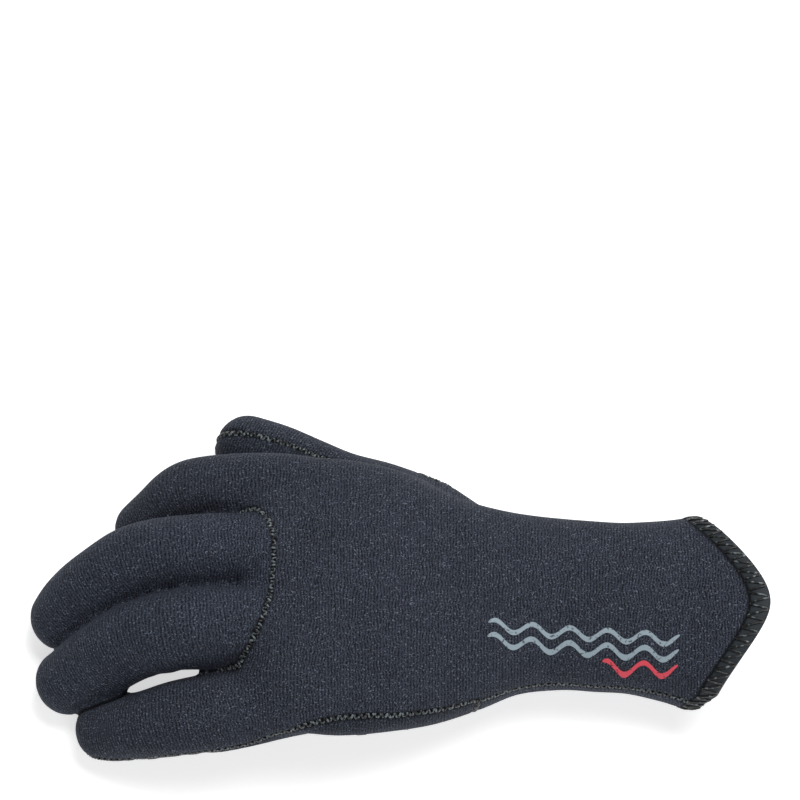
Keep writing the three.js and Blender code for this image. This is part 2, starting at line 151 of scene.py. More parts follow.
def smooth_rows(rows, count):
    """Rows spread evenly over a table, on one smooth curve through each column."""
    rows = np.array(rows, float)
    last = len(rows) - 1
    out = []
    for place in np.linspace(0, last, count):
        i = min(int(place), last - 1)
        f = place - i
        before, here = rows[max(i - 1, 0)], rows[i]
        after, beyond = rows[i + 1], rows[min(i + 2, last)]
        lean_in, lean_out = (after - before) / 2, (beyond - here) / 2
        out.append(
            (2 * f**3 - 3 * f**2 + 1) * here
            + (f**3 - 2 * f**2 + f) * lean_in
            + (3 * f**2 - 2 * f**3) * after
            + (f**3 - f**2) * lean_out
        )
    return np.array(out)


def signed_power(value, exponent):
    return np.sign(value) * np.abs(value) ** exponent


def ramp(values, start, span):
    """0 at start and 1 a span further on; a negative span runs the other way."""
    return np.clip((values - start) / span, 0, 1)


def vee_reach(rise, across):
    """How far the cuff edge is drawn out at one place: a point on the back, a dip below."""
    u = (across - VEE_MIDDLE) / VEE_HALF
    fall = np.sqrt(u * u + VEE_ROUND**2) - VEE_ROUND
    point = VEE_DEPTH * (1 - fall / (math.sqrt(1 + VEE_ROUND**2) - VEE_ROUND))
    over = np.maximum(point, 0) * np.minimum(1, rise * 4)
    return np.where(rise < 0, VEE_BACK * rise, over)


def hand_ring(row, angles, inset=0.0):
    """One section round the hand or cuff, a chosen distance inside the skin."""
    along, across, half, low, mid, high, vee = row
    side = signed_power(np.cos(angles), SQUARENESS)
    rise = signed_power(np.sin(angles), SQUARENESS)
    reach = np.where(rise > 0, high - mid, mid - low) - inset
    x = along + vee * vee_reach(np.sin(angles), across + half * side)
    return np.stack([x, across + (half - inset) * side, mid + reach * rise], 1)


def loft(name, rings, closed=False):
    """A mesh through rings of the same number of points, capped unless it is closed."""
    rings = [(np.array(ring) + MIDDLE_LINE) * MM for ring in rings]
    bm = bmesh.new()
    loops = [[bm.verts.new(p) for p in ring] for ring in rings]
    spans = len(loops) if closed else len(loops) - 1
    for i in range(spans):
        a, b = loops[i], loops[(i + 1) % len(loops)]
        for j in range(len(a)):
            k = (j + 1) % len(a)
            bm.faces.new((a[j], a[k], b[k], b[j]))
    if not closed:
        bm.faces.new(loops[0][::-1])
        bm.faces.new(loops[-1])
    bmesh.ops.recalc_face_normals(bm, faces=bm.faces)
    mesh = bpy.data.meshes.new(name)
    bm.to_mesh(mesh)
    bm.free()
    piece = bpy.data.objects.new(name, mesh)
    bpy.context.scene.collection.objects.link(piece)
    return piece


def digit_rings(table, tip, fold, sides=40, count=46):
    """Rings along a digit's own curve, folded on its palm side, with a rounded tip."""
    rows = smooth_rows(table, count)
    centres = rows[:, :3]
    tangents = np.gradient(centres, axis=0)
    tangents /= np.linalg.norm(tangents, axis=1)[:, None]
    angles = np.linspace(0, 2 * math.pi, sides, endpoint=False)
    rings = []
    for i, (centre, tangent) in enumerate(zip(centres, tangents)):
        across = np.cross(tangent, (0, 0, 1))
        across /= np.linalg.norm(across)
        upward = np.cross(across, tangent)
        thin = 0.0
        for place, depth in BEND_FOLDS:
            thin += fold * depth * math.exp(-(((i / count - place) / FOLD_WIDTH) ** 2))
        under = np.clip(-np.sin(angles) + 0.25, 0, 1) ** 0.7 * thin
        wide, thick = rows[i, 3] - under, rows[i, 4] - under
        ring = (
            centre
            + np.outer(wide * np.cos(angles), across)
            + np.outer(thick * np.sin(angles), upward)
        )
        rings.append(ring)
    for turn in TIP_TURNS:
        shrink, out = math.cos(turn), tip * math.sin(turn)
        ring = (
            centres[-1]
            + tangent * out
            + np.outer(rows[-1, 3] * shrink * np.cos(angles), across)
            + np.outer(rows[-1, 4] * shrink * np.sin(angles), upward)
        )
        rings.append(ring)
    return rings


angles = np.linspace(0, 2 * math.pi, 128, endpoint=False)
hand_rings = [hand_ring(row, angles) for row in smooth_rows(HAND_ROWS, 90)]
form = loft("glove_form", hand_rings)
digits = [loft("finger_web", digit_rings(WEB_ROWS, WEB_REACH, 0.0, 24, 20))]
for name, table in DIGIT_ROWS.items():
    fold = 0.5 if name == "thumb" else 1.0
    digits.append(loft(f"digit_{name}", digit_rings(table, TIP_REACH[name], fold)))
for piece in (form, *digits):
    piece.select_set(True)
bpy.context.view_layer.objects.active = form
bpy.ops.object.join()

form.data.remesh_voxel_size = SKIN_STEP * MM
form.data.remesh_voxel_adaptivity = 0
bpy.ops.object.voxel_remesh()
bpy.ops.object.modifier_add(type="SMOOTH")
form.modifiers["Smooth"].factor = 0.5
form.modifiers["Smooth"].iterations = 8
bpy.ops.object.modifier_apply(modifier="Smooth")

# Soft unevenness of a worn glove: slow waves all over
waves = bpy.data.textures.new("slow_waves", "CLOUDS")
waves.noise_scale = 0.03
waves.noise_depth = 1
bpy.ops.object.modifier_add(type="DISPLACE")
form.modifiers["Displace"].texture = waves
form.modifiers["Displace"].strength = 1.1 * MM
form.modifiers["Displace"].mid_level = 0.5
bpy.ops.object.modifier_apply(modifier="Displace")
bpy.ops.object.modifier_add(type="TRIANGULATE")
bpy.ops.object.modifier_apply(modifier="Triangulate")


def points_of(mesh):
    co = np.empty(len(mesh.vertices) * 3)
    mesh.vertices.foreach_get("co", co)
    return co.reshape(-1, 3)


def triangles_of(mesh):
    tris = np.empty(len(mesh.polygons) * 3, int)
    mesh.polygons.foreach_get("vertices", tris)
    return tris.reshape(-1, 3)


def normals_of(mesh):
    normals = np.empty(len(mesh.vertices) * 3)
    mesh.vertices.foreach_get("normal", normals)
    return normals.reshape(-1, 3)


def spread(values, tris, rounds):
    """Evens out one value per point over its neighbours."""
    ends = np.concatenate([tris[:, [0, 1]], tris[:, [1, 2]], tris[:, [2, 0]]])
    count = np.bincount(ends.ravel(), minlength=len(values))
    for _ in range(rounds):
        total = np.bincount(ends[:, 0], values[ends[:, 1]], len(values))
        total += np.bincount(ends[:, 1], values[ends[:, 0]], len(values))
        values = (values + total / np.maximum(count, 1)) / 2
    return values


co = points_of(form.data)
tris = triangles_of(form.data)

# Between neighbouring fingers the cloth is drawn down into a crease as far as the knuckles
reach = []
for name in ("index", "middle", "ring", "little"):
    middles = smooth_rows(DIGIT_ROWS[name], 60)[:, :3]
    reach.append(np.linalg.norm((co / MM - MIDDLE_LINE)[:, None] - middles[None], axis=2).min(1))
reach = np.sort(np.array(reach), axis=0)
crease = np.exp(-(((reach[1] - reach[0]) / CREASE_WIDTH) ** 2))
crease *= ramp(co[:, 0] / MM, CREASE_START, -CREASE_FADE)
crease = spread(crease * np.clip(normals_of(form.data)[:, 2], 0, 1), tris, 6)
co[:, 2] -= crease * CREASE_DEPTH * MM
for axis in range(3):
    evened = spread(co[:, axis], tris, 3)
    co[:, axis] += (evened - co[:, axis]) * np.minimum(crease * 3, 1)
co[:, 2] = np.maximum(co[:, 2], PRINT_CLEARANCE * MM)

# -------------------------------------------------------------- panel seams
# Where the panels meet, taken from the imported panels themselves: a point of
# the form belongs to the panel that it lies nearest to, and the seam runs
# where two panels are equally near.
SEAM_BANDS = (0.0, 0.8, -0.8, 1.7, -1.7)
OUTER_SEAM_LIFT = 2.4  # along the little-finger side of the hand
INNER_SEAM_DROP = 8.0  # where the ring and little fingers only touch
SIDE_SEAM = (  # along, height of the seam down the side of the gauntlet
    (20, 28.8),
    (30, 26.4),
    (42, 23.6),
    (56, 22.6),
    (70, 22.4),
    (84, 22.8),
    (112, 23.4),
)
CUFF_MIDDLE, CUFF_ABOVE, CUFF_BELOW = 21, 21.8, 22.2


def nearest(node, points):
    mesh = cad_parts[node].data
    tree = BVHTree.FromPolygons([v.co for v in mesh.vertices], [p.vertices for p in mesh.polygons])
    return np.array([tree.find_nearest(p)[3] for p in points]) / MM


palm_far = nearest("palm_panel", co)
back_far = nearest("back_panel", co)
knuckle_far = nearest("knuckle_panel", co)
table = co / MM - MIDDLE_LINE
outer_side = ramp(table[:, 0], -48, 12) * ramp(table[:, 1], -18, -8)
between_fingers = np.exp(-(((table[:, 1] + 29) / 9) ** 2)) * ramp(table[:, 0], -54, -8)
palm_far = palm_far - OUTER_SEAM_LIFT * outer_side + INNER_SEAM_DROP * between_fingers
palm_side = spread(palm_far - np.minimum(back_far, knuckle_far), tris, 6)
knuckle_side = spread(knuckle_far - back_far, tris, 6)
half_up = np.where(table[:, 2] > CUFF_MIDDLE, CUFF_ABOVE, CUFF_BELOW)
lift = np.clip((table[:, 2] - CUFF_MIDDLE) / half_up, -1, 1)
edge_row = HAND_ROWS[CUFF_ROW]
cuff_side = table[:, 0] - edge_row[0]
cuff_side = cuff_side - vee_reach(signed_power(lift, 1 / SQUARENESS), table[:, 1])
side_height = np.interp(table[:, 0], *zip(*SIDE_SEAM))
side_seam = np.where((table[:, 1] < -12) & (table[:, 0] > 18), table[:, 2] - side_height, 9.0)

# Course of the knit along the hand, then along each finger's own middle line
grain = table[:, 0].copy()
closest = np.full(len(co), 1e9)
for name in DIGIT_ROWS:
    rows = smooth_rows(DIGIT_ROWS[name], 60)[:, :3]
    steps = np.linalg.norm(np.diff(rows, axis=0), axis=1)
    run = np.concatenate([[0], np.cumsum(steps)])
    gap = np.linalg.norm(table[:, None] - rows[None], axis=2)
    best = gap.argmin(1)
    tangent = np.gradient(rows, axis=0)
    tangent /= np.linalg.norm(tangent, axis=1)[:, None]
    along = rows[20, 0] + run[20] - run[best] - ((table - rows[best]) * tangent[best]).sum(1)
    near = gap.min(1)
    root = ramp(table[:, 0], -38, -16)
    if name == "thumb":
        root = ramp(table[:, 0], 14, -14) * ramp(near, 40, -20)
        root *= table[:, 2] < 34
    own = near < closest
    blend = np.where(own, root, 0)
    grain = np.where(blend > 0, grain * (1 - blend) + along * blend, grain)
    closest = np.where(own, near, closest)
grain = spread(grain, tris, 10)

KEEP = {"place": slice(0, 3), "normal": slice(3, 6)}
KEEP |= {"palm": 6, "knuckle": 7, "cuff": 8, "side": 9, "grain": 10}
fields = (palm_side, knuckle_side, cuff_side, side_seam, grain)
rows = np.column_stack([co, normals_of(form.data), *fields])


def cut(rows, tris, column, level, only=None):
    """Splits the triangles along one level of a column, carrying every column over."""
    value = rows[:, column] - level
    value = np.where(np.abs(value) < 1e-6, 1e-6, value)
    above = value[tris] > 0
    count = above.sum(1)
    mixed = (count > 0) & (count < 3)
    if only is not None:
        mixed &= only
    made, fresh, new_tris = {}, [], []

    def between(a, b):
        key = (min(a, b), max(a, b))
        if key not in made:
            t = min(max(value[a] / (value[a] - value[b]), 0.04), 0.96)
            made[key] = len(rows) + len(fresh)
            row = rows[a] * (1 - t) + rows[b] * t
            row[column] = level
            fresh.append(row)
        return made[key]

    for tri, up in zip(tris[mixed], above[mixed]):
        lone = int(np.argmax(up == (up.sum() == 1)))
        a, b, c = np.roll(tri, -lone)
        p, q = between(a, b), between(a, c)
        new_tris += [(a, p, q), (p, b, c), (p, c, q)]
    if fresh:
        rows = np.vstack([rows, fresh])
        tris = np.vstack([tris[~mixed], new_tris])
    return rows, tris


for level in SEAM_BANDS:
    rows, tris = cut(rows, tris, KEEP["palm"], level)
for level in SEAM_BANDS:
    inner = rows[tris, KEEP["palm"]].mean(1) > 0
    rows, tris = cut(rows, tris, KEEP["knuckle"], level, inner)
for level in SEAM_BANDS:
    rows, tris = cut(rows, tris, KEEP["side"], level)
rows, tris = cut(rows, tris, KEEP["cuff"], 0.0)
tris = tris[rows[tris, KEEP["cuff"]].mean(1) < 0]

palm_value = rows[tris, KEEP["palm"]].mean(1)
knuckle_value = rows[tris, KEEP["knuckle"]].mean(1)
belongs = {
    "palm_panel": palm_value < 0,
    "knuckle_panel": (palm_value > 0) & (knuckle_value < 0),
    "back_panel": (palm_value > 0) & (knuckle_value >= 0),
}

# The skin is drawn down into a shallow valley along every seam
GROOVE_DEPTH = 0.7
GROOVE_HALF = 1.7
FLOOR_SQUEEZE = 0.2  # how much thinner the wall is where it rests
on_rest = rows[:, KEEP["palm"]] > -1e-9
seam_far = np.abs(rows[:, KEEP["palm"]])
seam_far = np.minimum(seam_far, np.where(on_rest, np.abs(rows[:, KEEP["knuckle"]]), 9))
seam_far = np.minimum(seam_far, np.where(on_rest, np.abs(rows[:, KEEP["side"]]), 9))
depth = GROOVE_DEPTH * np.clip(1 - seam_far / GROOVE_HALF, 0, 1) ** 1.6
place = rows[:, KEEP["place"]]
normal = rows[:, KEEP["normal"]]
normal /= np.linalg.norm(normal, axis=1)[:, None]
skin = place - normal * depth[:, None] * MM
skin[:, 2] = np.maximum(skin[:, 2], PRINT_CLEARANCE * MM)
lining = place - normal * WALL * MM
lining[:, 2] = np.maximum(lining[:, 2], (WALL - FLOOR_SQUEEZE) * MM)


def mesh_piece(name, points, faces):
    mesh = bpy.data.meshes.new(name)
    mesh.from_pydata([tuple(p) for p in points], [], [tuple(map(int, f)) for f in faces])
    mesh.update()
    piece = bpy.data.objects.new(name, mesh)
    bpy.context.scene.collection.objects.link(piece)
    return piece


def soften(piece, degrees):
    bpy.ops.object.select_all(action="DESELECT")
    piece.select_set(True)
    bpy.context.view_layer.objects.active = piece
    bpy.ops.object.shade_smooth_by_angle(angle=math.radians(degrees))


def panel(name, own):
    """One panel of the skin with its lining 3 mm inside it and a wall along its edge."""
    used = np.unique(own)
    index = np.full(len(rows), -1)
    index[used] = np.arange(len(used))
    own = index[own]
    count = len(used)
    ends = np.concatenate([own[:, [0, 1]], own[:, [1, 2]], own[:, [2, 0]]])
    seen = {(int(a), int(b)) for a, b in ends}
    edge = [(a, b) for a, b in seen if (b, a) not in seen]
    faces = [tuple(t) for t in own]
    faces += [tuple(t[::-1] + count) for t in own]
    faces += [(b, a, a + count, b + count) for a, b in edge]
    piece = mesh_piece(name, np.vstack([skin[used], lining[used]]), faces)
    course = piece.data.attributes.new("course", "FLOAT", "POINT")
    values = rows[used, KEEP["grain"]]
    course.data.foreach_set("value", np.concatenate([values, values]).astype(np.float32))
    # Painted shade: how near each point lies to a seam or the cuff edge, where the jersey is
    # darkened as if in the groove's shadow
    seam_shade = piece.data.attributes.new("seam_shade", "FLOAT", "POINT")
    values = np.clip(1 - np.minimum(seam_far, -rows[:, KEEP["cuff"]])[used] / GROOVE_HALF, 0, 1)
    seam_shade.data.foreach_set("value", np.concatenate([values, values]).astype(np.float32))
    soften(piece, 50)
    return piece


panels = {}
for node, own in belongs.items():
    panels[node] = panel(node.replace("_panel", "_neoprene"), tris[own])
bpy.data.objects.remove(form)


# ---------------------------------------------------------- neoprene panels
# Foam rubber faced with charcoal nylon jersey, cut as a back, a knuckle panel
# over the middle and ring fingers, and a palm, glued edge to edge and sewn.
def add_node(tree, kind, settings, sockets, output=0):
    """A node of one kind, its settings first, then the values or links of its sockets."""
    node = tree.nodes.new(kind)
    for key, value in settings.items():
        setattr(node, key, value)
    for key, value in sockets.items():
        if isinstance(value, Sum):
            tree.links.new(value.socket, node.inputs[key])
        else:
            node.inputs[key].default_value = value
    return Sum(tree, node.outputs[output])


class Sum:
    """One output socket; arithmetic on it adds the nodes that work it out."""

    def __init__(self, tree, socket):
        self.tree = tree
        self.socket = socket

    def math(self, operation, other=None):
        sockets = {0: self} if other is None else {0: self, 1: other}
        return add_node(self.tree, "ShaderNodeMath", {"operation": operation}, sockets)

    def __add__(self, other):
        return self.math("ADD", other)

    __radd__ = __add__

    def __mul__(self, other):
        return self.math("MULTIPLY", other)

    __rmul__ = __mul__

    def __sub__(self, other):
        return self.math("SUBTRACT", other)

    def __rsub__(self, other):
        return (self * -1) + other

    def step(self, low, high):
        """0 below low, 1 above high, a soft rise between."""
        settings = {"interpolation_type": "SMOOTHSTEP"}
        sockets = {"Value": self, "From Min": low, "From Max": high}
        return add_node(self.tree, "ShaderNodeMapRange", settings, sockets, "Result")


class Finish:
    """A material under way: its nodes, its shader and the paths into it."""

    def __init__(self, name, **constants):
        self.material = bpy.data.materials.new(name)
        self.material.use_nodes = True
        self.tree = self.material.node_tree
        self.shader = self.tree.nodes["Principled BSDF"]
        for socket, value in constants.items():
            self.shader.inputs[socket.replace("_", " ")].default_value = value
        self.object_place = self.node("ShaderNodeTexCoord", {}, {}, "Object")

    def node(self, kind, settings, sockets, output=0):
        return add_node(self.tree, kind, settings, sockets, output)

    def noise(self, size, detail=2.0):
        """Noise of one size in millimetres."""
        sockets = {"Vector": self.object_place, "Scale": 1 / (size * MM), "Detail": detail}
        return self.node("ShaderNodeTexNoise", {}, sockets, "Fac")

    def blend(self, factor, low, high):
        """A colour between two; sockets 6 and 7 of the Mix node are its colours."""
        sockets = {0: factor, 6: low, 7: high}
        return self.node("ShaderNodeMix", {"data_type": "RGBA"}, sockets, 2)

    def feed(self, socket, value):
        self.tree.links.new(value.socket, self.shader.inputs[socket])

    def bump(self, height, depth, strength=1.0):
        sockets = {"Height": height, "Distance": depth * MM, "Strength": strength}
        self.feed("Normal", self.node("ShaderNodeBump", {}, sockets))


def shade(red, green, blue):
    """A screen colour from 0 to 255 as the shader's linear colour."""
    screen = (red, green, blue)
    return (*[((c / 255 + 0.055) / 1.055) ** 2.4 if c > 10 else c / 3294 for c in screen], 1)


RIB_PITCH = 1.05


def jersey(name, dark, light, speck):
    """Brushed nylon jersey: fine ribs across the fingers, broken by loops, with painted fibre
    glints and painted shade along the seams.
    """
    cloth = Finish(name, Sheen_Weight=0.04, Sheen_Roughness=0.5, Specular_IOR_Level=0.15)
    cloth.shader.inputs["Sheen Tint"].default_value = shade(190, 200, 222)
    course = cloth.node("ShaderNodeAttribute", {"attribute_name": "course"}, {}, "Fac")
    seam_shade = cloth.node("ShaderNodeAttribute", {"attribute_name": "seam_shade"}, {}, "Fac")
    drift = cloth.noise(3.0, 1.0) * 0.5
    rib = ((course + drift) * (2 * math.pi / RIB_PITCH)).math("SINE") * 0.5 + 0.5
    loops = cloth.noise(0.5, 1.0)
    fuzz = cloth.noise(0.3, 2.0)
    cast = cloth.noise(14.0, 3.0)
    tone = rib * 0.52 + loops.step(0.38, 0.62) * 0.5 + (fuzz - 0.5) * 0.8 - 0.02
    tone = tone + (cast - 0.5) * 0.22
    # Pale specks on the knit are painted glints of the fibres, not part of its dye
    glint = cloth.noise(0.52, 0.0).step(0.66, 0.78)
    base = cloth.blend(tone.math("MAXIMUM", 0.0).math("MINIMUM", 1.0), dark, light)
    base = cloth.blend(glint * 0.7, base, speck)
    # Painted shade: the cloth turns near black along the seams and the cuff edge, broken a little
    # by the loops
    painted_seam_shade = seam_shade.step(0.1, 0.75) * (loops * 0.7 + 0.5).math("MINIMUM", 1.0)
    cloth.feed("Base Color", cloth.blend(painted_seam_shade, base, shade(5, 6, 8)))
    cloth.feed("Roughness", 0.93 - loops * 0.16)
    cloth.bump(rib * 0.6 + loops * 0.7 + fuzz * 0.5, 0.14, 0.9)
    return cloth.material


def dress(piece, material, slot, *nodes):
    piece.data.materials.clear()
    piece.data.materials.append(material)
    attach(piece, "root")
    if nodes:
        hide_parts(*nodes)


back_jersey = jersey("back_jersey", shade(11, 13, 18), shade(67, 72, 85), shade(118, 126, 140))
knuckle_speck = shade(120, 129, 143)
knuckle_jersey = jersey("knuckle_jersey", shade(11, 13, 19), shade(68, 74, 88), knuckle_speck)
palm_jersey = jersey("palm_jersey", shade(10, 12, 17), shade(60, 65, 77), shade(104, 111, 123))
dress(panels["back_panel"], back_jersey, "neoprene_back", "back_panel")
dress(panels["knuckle_panel"], knuckle_jersey, "neoprene_knuckle", "knuckle_panel")
dress(panels["palm_panel"], palm_jersey, "neoprene_palm", "palm_panel")

# ------------------------------------------------------------- seam stitches
# Every seam is blind-stitched over its glued joint with a bonded nylon thread
# that crosses from side to side and sinks into the cloth at each needle hole.
SEAM_PITCH = 2.4
KNUCKLE_SEAM_END = -63.5
SEAM_WIDTH = 2.5
SEAM_THREAD = 0.44
SEAM_RISE = 0.55
SEAM_SINK = 0.4
CROSSING_POINTS = 4
SHORTEST_RUN = 24


def seam_paths(column, own):
    """Runs of joined skin points that lie on one seam, longest first."""
    on = np.abs(rows[:, KEEP[column]]) < 1e-9
    ends = np.concatenate([own[:, [0, 1]], own[:, [1, 2]], own[:, [2, 0]]])
    ends = ends[on[ends].all(1)]
    ends = {tuple(sorted(map(int, e))) for e in ends}
    joined = {}
    for a, b in ends:
        joined.setdefault(a, []).append(b)
        joined.setdefault(b, []).append(a)
    paths, left = [], set(joined)
    starts = sorted(joined, key=lambda v: (len(joined[v]) == 2, v))
    for start in starts:
        if start not in left:
            continue
        path = [start]
        left.discard(start)
        while True:
            ahead = [v for v in joined[path[-1]] if v in left]
            if not ahead:
                break
            here = skin[path[-1]]
            heading = here - skin[path[-2]] if len(path) > 1 else np.zeros(3)
            ahead.sort(key=lambda v: -float(np.dot(skin[v] - here, heading)))
            path.append(ahead[0])
            left.discard(ahead[0])
        closed = len(path) > 8 and path[0] in joined[path[-1]]
        paths.append((path, closed))
    return sorted(paths, key=lambda p: -len(p[0]))


def even_run(path, closed, step):
    """Points and normals at even steps along a run, with small kinks evened out."""
    index = path + [path[0]] if closed else path
    points, normals = skin[index].copy(), normal[index].copy()
    for _ in range(5):
        points[1:-1] = (points[:-2] + 2 * points[1:-1] + points[2:]) / 4
        normals[1:-1] = (normals[:-2] + 2 * normals[1:-1] + normals[2:]) / 4
    lengths = np.linalg.norm(np.diff(points, axis=0), axis=1)
    run = np.concatenate([[0], np.cumsum(lengths)])
    count = max(int(run[-1] / (step * MM)), 2)
    at = np.linspace(0, run[-1], count)
    points = np.stack([np.interp(at, run, points[:, i]) for i in range(3)], 1)
    normals = np.stack([np.interp(at, run, normals[:, i]) for i in range(3)], 1)
    normals /= np.linalg.norm(normals, axis=1)[:, None]
    return points, normals


def zigzag(points, normals, width, rise, sink):
    """A thread that crosses a seam from side to side, a few points to each crossing."""
    tangent = np.gradient(points, axis=0)
    tangent /= np.linalg.norm(tangent, axis=1)[:, None]
    across = np.cross(tangent, normals)
    turn = np.arange(len(points)) / CROSSING_POINTS
    swing = np.abs((turn % 2) - 1) * 2 - 1
    lift = rise * (1 - swing**2) - sink * swing**2
    return points + across * (swing * width / 2 * MM)[:, None] + normals * (lift * MM)[:, None]


def thread(name, runs, radius, sides=6):
    """Round threads along runs of (points, normals), in one mesh."""
    points, faces = [], []
    angles = np.linspace(0, 2 * math.pi, sides, endpoint=False)
    for centres, ups in runs:
        tangent = np.gradient(centres, axis=0)
        tangent /= np.maximum(np.linalg.norm(tangent, axis=1), 1e-12)[:, None]
        side = np.cross(tangent, ups)
        side /= np.maximum(np.linalg.norm(side, axis=1), 1e-12)[:, None]
        up = np.cross(side, tangent)
        start = len(points)
        for c, s, u in zip(centres, side, up):
            points += [c + radius * MM * (math.cos(a) * s + math.sin(a) * u) for a in angles]
        for i in range(len(centres) - 1):
            for j in range(sides):
                k = (j + 1) % sides
                a, b = start + i * sides, start + (i + 1) * sides
                faces.append((a + j, a + k, b + k, b + j))
        faces.append(tuple(start + j for j in range(sides))[::-1])
        faces.append(tuple(start + (len(centres) - 1) * sides + j for j in range(sides)))
    piece = mesh_piece(name, points, faces)
    soften(piece, 60)
    return piece


seam_runs = []
for column, own in (
    ("palm", tris[belongs["palm_panel"]]),
    ("knuckle", tris[~belongs["palm_panel"]]),
    ("side", tris[belongs["back_panel"]]),
):
    for path, closed in seam_paths(column, own):
        # The knuckle seam ends between the fingers: past there two fingers only touch
        sewn = [column != "knuckle" or rows[v, 0] > KNUCKLE_SEAM_END * MM for v in path]
        closed = closed and all(sewn)
        first = 0
        for i in range(len(path) + 1):
            if i < len(path) and sewn[i]:
                continue
            if i - first > SHORTEST_RUN:
                step = SEAM_PITCH / (2 * CROSSING_POINTS)
                points, normals = even_run(path[first:i], closed, step)
                laid = zigzag(points, normals, SEAM_WIDTH, SEAM_RISE, SEAM_SINK)
                seam_runs.append((laid, normals))
            first = i + 1
seam_stitches = thread("seam_stitches", seam_runs, SEAM_THREAD)
seam_thread = Finish("bonded_thread", Roughness=0.38, Specular_IOR_Level=0.5)
twist = seam_thread.noise(0.5, 2.0)
# Pale spots on the dark thread are painted glints, dimmed in broad random patches
seam_glints = seam_thread.noise(1.0, 1.0).step(0.45, 0.62)
glint_fade = seam_thread.noise(7.0, 2.0).step(0.4, 0.7)
lay = seam_thread.blend(seam_glints * (1 - glint_fade * 0.45), shade(11, 13, 15), shade(130, 141, 146))
seam_thread.feed("Base Color", seam_thread.blend(twist * 0.5, lay, shade(10, 12, 12)))
seam_thread.feed("Roughness", 0.3 + twist * 0.3)
seam_thread.bump(twist, 0.08)
dress(seam_stitches, seam_thread.material, "neoprene_back")

# ---------------------------------------------------------------- wave print
# Plain wavy lines of silicone ink pressed onto the back of the wrist, two in
# pale grey and a short one in coral, slightly cracked where the cuff stretches.
PRINT_MIDDLE = (68.0, -17.6)
PRINT_TILT = math.radians(-4)
PRINT_WAVE = (13.0, 1.7)  # length, height
PRINT_RISE = 0.16
PRINT_ROOT = -0.3  # how far the ink's edge sinks into the cloth
PRINT_STEP = 0.5
PRINT_LINES = {  # from, to, across, width
    "wave_print_grey": ((-38, 28, 3.4, 1.8), (-38, 28, -1.4, 1.8)),
    "wave_print_coral": ((2, 28, -6.0, 1.5),),
}
PRINT_SHADES = {"wave_print_grey": (150, 166, 176), "wave_print_coral": (224, 78, 94)}
back_skin = tris[belongs["back_panel"]]
back_tree = BVHTree.FromPolygons([tuple(p) for p in skin], [tuple(map(int, t)) for t in back_skin])


def on_back(along, across, rise):
    """The place on the back of the wrist under one point of the flat print."""
    turned = complex(along, across) * complex(math.cos(PRINT_TILT), math.sin(PRINT_TILT))
    x, y = PRINT_MIDDLE[0] + turned.real, PRINT_MIDDLE[1] + turned.imag
    start = Vector(((x + MIDDLE_LINE[0]) * MM, (y + MIDDLE_LINE[1]) * MM, 0.2))
    spot, facing, _, _ = back_tree.ray_cast(start, Vector((0, 0, -1)))
    return spot + facing * rise * MM


for name, lines in PRINT_LINES.items():
    points, faces = [], []
    for start, end, across, width in lines:
        count = int((end - start) / PRINT_STEP) + 1
        base = len(points)
        for along in np.linspace(start, end, count):
            swell = PRINT_WAVE[1] * math.sin(2 * math.pi * along / PRINT_WAVE[0])
            narrow = width / 2 * min(1.0, 0.25 + 0.5 * min(along - start, end - along) ** 0.5)
            edge = ((-1, PRINT_ROOT), (-0.94, PRINT_RISE), (0.94, PRINT_RISE), (1, PRINT_ROOT))
            for side, rise in edge:
                points.append(on_back(along, across + swell + side * narrow, rise))
        for i in range(count - 1):
            for j in range(4):
                a, b = base + i * 4, base + i * 4 + 4
                k = (j + 1) % 4
                faces.append((a + j, b + j, b + k, a + k))
        faces.append(tuple(base + j for j in range(4)))
        faces.append(tuple(base + (count - 1) * 4 + j for j in range(4))[::-1])
    piece = mesh_piece(name, points, faces)
    soften(piece, 40)
    film = Finish(f"{name}_ink", Specular_IOR_Level=0.35)
    crack = film.noise(1.2, 3.0)
    crazed = crack.step(0.3, 0.42)
    tint = shade(*PRINT_SHADES[name])
    worn_tint = shade(*[c * 0.45 for c in PRINT_SHADES[name]])
    film.feed("Base Color", film.blend(crazed, worn_tint, tint))
    film.feed("Roughness", 0.45 + crack * 0.3)
    film.bump(crazed * 0.6 + film.noise(0.5, 1.0) * 0.4, 0.06)
    dress(piece, film.material, "neoprene_back")

# ------------------------------------------------------------------ cuff hem
# A smooth rubber-skinned band folded over the raw edge of the flared cuff and
# held by one wide zigzag of heavier thread that reaches across most of it.
HEM_ROWS = (
    (98.4, -0.6, 33.2, -1.2, 21, 42.7, 1),
    (101.4, -0.7, 33.5, -1.2, 21.2, 43.3, 1),
    (104.0, -0.7, 33.5, -1.2, 21.4, 43.7, 1),
    (105.4, -0.7, 33.2, -0.5, 21.4, 43.5, 1),
)
HEM_PROFILE = (  # share across the band, how far inside the skin
    (0.0, 0.6),
    (0.02, 0.1),
    (0.08, -0.15),
    (0.3, -0.3),
    (0.6, -0.3),
    (0.84, -0.2),
    (0.95, 0.1),
    (0.99, 0.9),
    (1.0, 1.7),
    (0.99, 2.5),
    (0.94, 3.1),
    (0.8, 3.5),
    (0.5, 3.6),
    (0.2, 3.5),
    (0.03, 3.3),
    (0.0, 2.8),
)
HEM_SHARES = 100
hem_rows = smooth_rows(HEM_ROWS, HEM_SHARES + 1)
hem_angles = np.linspace(0, 2 * math.pi, 200, endpoint=False)
hem_rings = []
for share, inset in HEM_PROFILE:
    ring = hand_ring(hem_rows[round(share * HEM_SHARES)], hem_angles, inset)
    ring[:, 2] = np.maximum(ring[:, 2], PRINT_CLEARANCE)
    hem_rings.append(ring)
hem = loft("cuff_band", hem_rings, closed=True)
bpy.ops.object.select_all(action="DESELECT")
hem.select_set(True)
bpy.context.view_layer.objects.active = hem
bpy.ops.object.modifier_add(type="SUBSURF")
